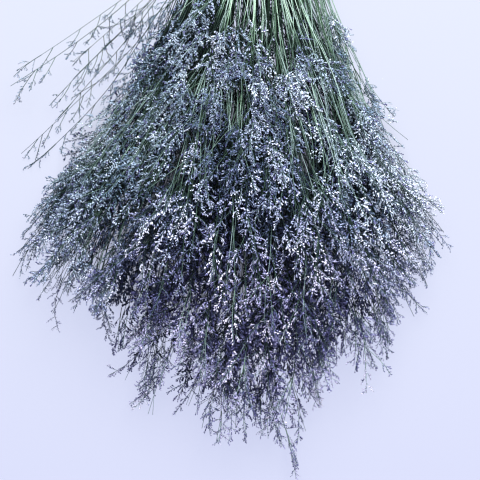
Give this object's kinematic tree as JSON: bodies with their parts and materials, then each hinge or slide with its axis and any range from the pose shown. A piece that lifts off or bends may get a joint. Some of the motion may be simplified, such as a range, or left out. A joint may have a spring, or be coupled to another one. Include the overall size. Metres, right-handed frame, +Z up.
{
  "type": "dried flower bunch",
  "caption": "Tied bunch of dried fine-flowered statice lying on its side: thin forked grey-green stems fanning out into a broad misty head of small lavender-grey papery spikelets.",
  "frame": {"origin": "on the surface that the bunch lies on, below the middle of its box", "axes": "+Z up, +Y along the stems towards the cut butts, so the flower heads point to -Y"},
  "size_m": [0.4492, 0.769, 0.2028],
  "materials": {
    "stem": "matte",
    "calyx": "matte",
    "twine": "matte"
  },
  "bodies": {
    "root": {"statice_stem_01": "stem", "statice_stem_02": "stem", "statice_stem_03": "stem", "statice_stem_04": "stem", "statice_stem_05": "stem", "statice_stem_06": "stem", "statice_stem_07": "stem", "statice_stem_08": "stem", "statice_stem_09": "stem", "statice_stem_10": "stem", "statice_stem_11": "stem", "statice_stem_12": "stem", "statice_stem_13": "stem", "statice_stem_14": "stem", "statice_stem_15": "stem", "statice_stem_16": "stem", "statice_stem_17": "stem", "statice_stem_18": "stem", "statice_stem_19": "stem", "statice_stem_20": "stem", "statice_stem_21": "stem", "statice_stem_22": "stem", "statice_stem_23": "stem", "statice_stem_24": "stem", "statice_stem_25": "stem", "statice_stem_26": "stem", "statice_stem_27": "stem", "statice_stem_28": "stem", "statice_stem_29": "stem", "statice_stem_30": "stem", "statice_stem_31": "stem", "statice_stem_32": "stem", "statice_stem_33": "stem", "statice_stem_34": "stem", "statice_stem_35": "stem", "statice_stem_36": "stem", "statice_stem_37": "stem", "statice_stem_38": "stem", "statice_stem_39": "stem", "statice_stem_40": "stem", "statice_stem_41": "stem", "statice_stem_42": "stem", "statice_stem_43": "stem", "statice_stem_44": "stem", "statice_stem_45": "stem", "statice_stem_46": "stem", "statice_stem_47": "stem", "statice_stem_48": "stem", "statice_stem_49": "stem", "statice_stem_50": "stem", "statice_stem_51": "stem", "statice_stem_52": "stem", "statice_stem_53": "stem", "statice_stem_54": "stem", "twine_tie": "twine"}
  },
  "joints": []
}
